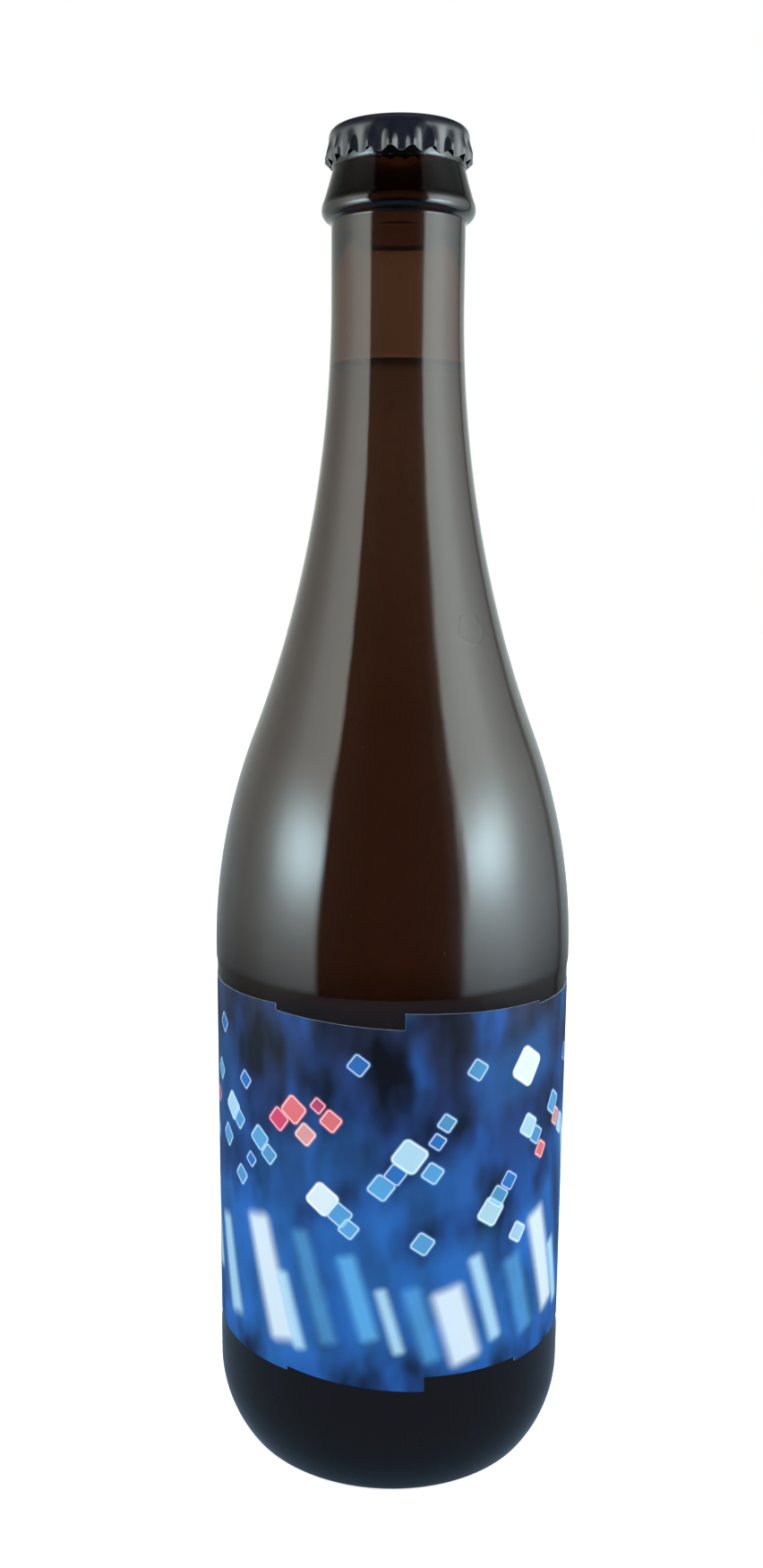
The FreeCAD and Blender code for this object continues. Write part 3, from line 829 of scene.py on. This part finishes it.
def build_label(shape):
    """The flat outline is cut into narrow strips, given its thickness and wrapped round the panel."""
    face_radius = PANEL_RADIUS + LABEL_SHEET
    verts = [shape.verts.new((azimuth, 0.0, height)) for azimuth, height in label_outline()]
    shape.faces.new(verts)
    half_count = math.floor(LABEL_LAST_CUT / LABEL_STRIP)
    for index in range(-half_count, half_count + 1):
        cut_across(shape, (LABEL_STRIP * index, 0, 0), (1, 0, 0))
    for height in LABEL_LEVELS:
        cut_across(shape, (0, 0, height), (0, 0, 1))
    front = list(shape.faces)
    extruded = bmesh.ops.extrude_face_region(shape, geom=front, use_keep_orig=True)["geom"]
    backs = [item for item in extruded if isinstance(item, bmesh.types.BMFace)]
    for vert in {vert for face in backs for vert in face.verts}:
        vert.co.y = 1.0
    sheets = set(front) | set(backs)
    for face in shape.faces:
        face.material_index = 0 if face in sheets else 1
    for vert in shape.verts:
        azimuth = math.radians(vert.co.x)
        radius = face_radius - LABEL_SHEET * vert.co.y
        vert.co = Vector((radius * math.sin(azimuth), -radius * math.cos(azimuth), vert.co.z))


def make_label():
    piece = new_object("label_sheet", build_label, [label_material(), paper_edge_material()])
    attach(piece, "root")
    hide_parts("label")


# ---------------------------------------------------------------- studio

# Light that the glass mirrors, by angle round the bottle: a dark gap in front, a soft panel on each side that
# fades towards the back wall, and a thin dark seam behind the right-hand panel. The panels differ in hue.
MIRRORED = (
    (-180, 0.8), (-130, 0.75), (-110, 0.95), (-100, 1.25), (-90, 1.75), (-78, 2.7), (-60, 3.4), (-49, 3.5),
    (-45, 0.15), (-20, 0.05), (10, 0.05), (30, 0.1), (39, 0.4), (44, 3.9), (60, 4.7), (75, 4.4), (84, 3.5),
    (93, 2.6), (105, 1.7), (115, 1.1), (122, 0.8), (125, 0.42), (129, 0.42), (133, 0.85), (180, 0.8),
)
MIRRORED_PEAK = 5.0
LEFT_HUE = (0.96, 1.02, 0.95)
RIGHT_HUE = (0.97, 1.07, 1.04)
# The same light by height in metres: red and blue share of it, cooler and dimmer low down, dark overhead.
MIRRORED_FADE = (
    (0.0, 0.07, 0.1), (0.05, 0.4, 0.52), (0.1, 0.7, 0.85), (0.19, 0.96, 1.01), (0.35, 0.98, 0.98),
    (0.4, 0.45, 0.46), (0.46, 0.14, 0.15), (0.56, 0.05, 0.05), (0.8, 0.04, 0.04),
)
# Bright cores on the panels, in degrees and metres. They fade out between two angles beside the dark gap.
LAMP_ANGLES = (-60.0, 60.0)
LAMP_FROM = 43.0
LAMP_FULL = 47.0
LAMP_HEIGHT = 0.184
LAMP_SPREAD = 13.5
LAMP_TALL = 0.037
LAMP_GLOW = (6.9, 9.5, 10.4)
# The tent, in metres, and its rings' heights in millimetres.
TENT_RADIUS = 0.3
TENT_TOP = 0.8
TENT_HEIGHTS = (-60.0, 0.0, 200.0, 400.0, TENT_TOP / MM)
TENT_SEGMENTS = 96

# The floor, in millimetres, and the light of floor and world by kind of ray.
FLOOR_REACH = 3000.0
FLOOR_CELLS = 12
FLOOR_DROP = 0.05
FLOOR_WHITE = 0.86
FLOOR_CAMERA_GLOW = 0.7
FLOOR_MIRRORED = (0.15, 0.22, 0.31, 1.0)
WORLD_LIGHT = 0.62
WORLD_MIRRORED = 0.15

# Soft boxes, in metres.
SOFTBOX_HEIGHT = 0.35
SOFTBOX_DISTANCE = 0.7
SOFTBOX_SIZE = 0.45
SOFTBOX_AIM = (0, 0, 0.13)


def only_for(piece, *rays):
    """Show a piece to the named kinds of ray only."""
    for ray in ("camera", "diffuse", "glossy", "transmission", "volume_scatter", "shadow"):
        setattr(piece, "visible_" + ray, ray in rays)


def mirrored_light(tree, angle, height):
    """Colour of the mirrored light by angle and height, without its bright cores."""
    share = math_node(tree, "MULTIPLY_ADD", angle, 1 / 360, 0.5)
    stops = []
    for turn, value in MIRRORED:
        red, green, blue = LEFT_HUE if turn < 0 else RIGHT_HUE
        strength = value / MIRRORED_PEAK
        stops.append(((turn + 180) / 360, (red * strength, green * strength, blue * strength, 1.0)))
    walls = ramp(tree, share, stops)
    stops = [(level / TENT_TOP, (red, (red + blue) / 2, blue, 1.0)) for level, red, blue in MIRRORED_FADE]
    fade = ramp(tree, math_node(tree, "DIVIDE", height, TENT_TOP), stops)
    return vector_math(tree, "MULTIPLY", mix(tree, 1.0, walls, fade, "MULTIPLY"), (MIRRORED_PEAK,) * 3)


def lamp_core(tree, angle, height, lamp):
    """Bell-shaped bright core round a lamp's angle, cut off beside the dark gap."""
    sideways = math_node(tree, "DIVIDE", math_node(tree, "SUBTRACT", angle, lamp), LAMP_SPREAD)
    upwards = math_node(tree, "DIVIDE", math_node(tree, "SUBTRACT", height, LAMP_HEIGHT), LAMP_TALL)
    off = math_node(tree, "MULTIPLY_ADD", sideways, sideways, math_node(tree, "MULTIPLY", upwards, upwards))
    bell = math_node(tree, "EXPONENT", math_node(tree, "MULTIPLY", off, -0.5))
    inputs = {"Value": math_node(tree, "ABSOLUTE", angle), "From Min": LAMP_FROM, "From Max": LAMP_FULL}
    beside = add(tree, "ShaderNodeMapRange", inputs, interpolation_type="SMOOTHSTEP").outputs[0]
    core = math_node(tree, "MULTIPLY", bell, beside)
    return add(tree, "ShaderNodeVectorMath", {0: LAMP_GLOW, "Scale": core}, operation="SCALE").outputs[0]


def tent_material():
    """Glow of the tent's wall."""
    material, tree = empty_material("tent_glow")
    place = object_place(tree)
    angle = azimuth_degrees(tree, place)
    height = height_of(tree, place)
    light = mirrored_light(tree, angle, height)
    for lamp in LAMP_ANGLES:
        light = vector_math(tree, "ADD", light, lamp_core(tree, angle, height, lamp))
    emission = add(tree, "ShaderNodeEmission", {"Color": light, "Strength": 1.0})
    add(tree, "ShaderNodeOutputMaterial", {"Surface": emission.outputs[0]})
    return material


def build_tent(shape):
    join_rings(shape, [level_ring(shape, TENT_RADIUS / MM, height, TENT_SEGMENTS) for height in TENT_HEIGHTS])


def make_tent():
    """Light tent round the bottle that only reflections see."""
    tent = new_object("studio_tent", build_tent, [tent_material()])
    only_for(tent, "glossy")


def floor_material():
    """White table; reflections see it dim, as it is close under the object."""
    material, tree, shader, output = new_material("floor_white")
    shader.inputs["Base Color"].default_value = grey(FLOOR_WHITE)
    shader.inputs["Roughness"].default_value = 0.9
    shader.inputs["Specular IOR Level"].default_value = 0.0
    rays = add(tree, "ShaderNodeLightPath").outputs
    shader.inputs["Emission Color"].default_value = grey(1.0)
    glow = math_node(tree, "MULTIPLY", rays["Is Camera Ray"], FLOOR_CAMERA_GLOW)
    tree.links.new(glow, shader.inputs["Emission Strength"])
    dim = add(tree, "ShaderNodeEmission", {"Color": FLOOR_MIRRORED, "Strength": 1.0})
    inputs = {0: rays["Is Glossy Ray"], 1: shader.outputs[0], 2: dim.outputs[0]}
    mixed = add(tree, "ShaderNodeMixShader", inputs)
    tree.links.new(mixed.outputs[0], output.inputs["Surface"])
    return material


def build_floor(shape):
    bmesh.ops.create_grid(shape, x_segments=FLOOR_CELLS, y_segments=FLOOR_CELLS, size=FLOOR_REACH)
    bmesh.ops.translate(shape, verts=shape.verts, vec=(0, 0, -FLOOR_DROP))


def make_floor():
    floor = new_object("studio_floor", build_floor, [floor_material()])


def make_world():
    """White where it is seen, directly or through glass, and dimmer where it lights or is mirrored."""
    world = bpy.data.worlds.new("studio_world")
    bpy.context.scene.world = world
    world.use_nodes = True
    tree = world.node_tree
    tree.nodes.clear()
    rays = add(tree, "ShaderNodeLightPath").outputs
    seen = math_node(tree, "MAXIMUM", rays["Is Camera Ray"], rays["Is Transmission Ray"])
    less = WORLD_MIRRORED - WORLD_LIGHT
    base = math_node(tree, "MULTIPLY_ADD", rays["Is Glossy Ray"], less, WORLD_LIGHT)
    strength = math_node(tree, "MAXIMUM", seen, base)
    sky = add(tree, "ShaderNodeBackground", {"Color": grey(1.0), "Strength": strength})
    add(tree, "ShaderNodeOutputWorld", {"Surface": sky.outputs[0]})


def make_lamp(name, angle, power):
    """Soft box at an angle round the bottle, seen by no mirror, as the tent stands for it there."""
    light = bpy.data.lights.new(name, "AREA")
    light.shape = "SQUARE"
    light.size = SOFTBOX_SIZE
    light.energy = power
    lamp = bpy.data.objects.new(name, light)
    turn = math.radians(angle)
    out = Vector((math.sin(turn), -math.cos(turn), 0))
    lamp.location = SOFTBOX_DISTANCE * out + Vector((0, 0, SOFTBOX_HEIGHT))
    aim = Vector(SOFTBOX_AIM) - lamp.location
    lamp.rotation_euler = aim.to_track_quat("-Z", "Y").to_euler()
    bpy.context.collection.objects.link(lamp)
    lamp.visible_camera = False
    lamp.visible_glossy = False
    lamp.visible_transmission = False


# ---------------------------------------------------------------- camera

CAMERA_PLACE = Vector((-0.00992, -0.3333, 0.2111))
CAMERA_DOWN = 11.23
CAMERA_ROLL = 0.192
CAMERA_LENS = 33.99
CAMERA_SHIFT = (0.0203, 0.0302)
CAMERA_SENSOR = 36.0
CAMERA_NEAR = 0.01


def make_camera():
    """Close to the bottle, a little above the middle of the shoulder, tipped down."""
    data = bpy.data.cameras.new("photo_camera")
    data.sensor_width = CAMERA_SENSOR
    data.lens = CAMERA_LENS
    data.shift_x, data.shift_y = CAMERA_SHIFT
    data.clip_start = CAMERA_NEAR
    camera = bpy.data.objects.new("photo_camera", data)
    tip = Matrix.Rotation(math.radians(90.0 - CAMERA_DOWN), 4, "X")
    roll = Matrix.Rotation(math.radians(CAMERA_ROLL), 4, "Z")
    camera.matrix_world = Matrix.Translation(CAMERA_PLACE) @ tip @ roll
    bpy.context.collection.objects.link(camera)
    bpy.context.scene.camera = camera


make_camera()
make_glass()
make_beer()
make_cap()
make_label()
make_floor()
make_tent()
make_world()
make_lamp("softbox_left", angle=-62.0, power=3.7)
make_lamp("softbox_right", angle=61.0, power=4.2)
bpy.context.scene.view_settings.view_transform = "Standard"
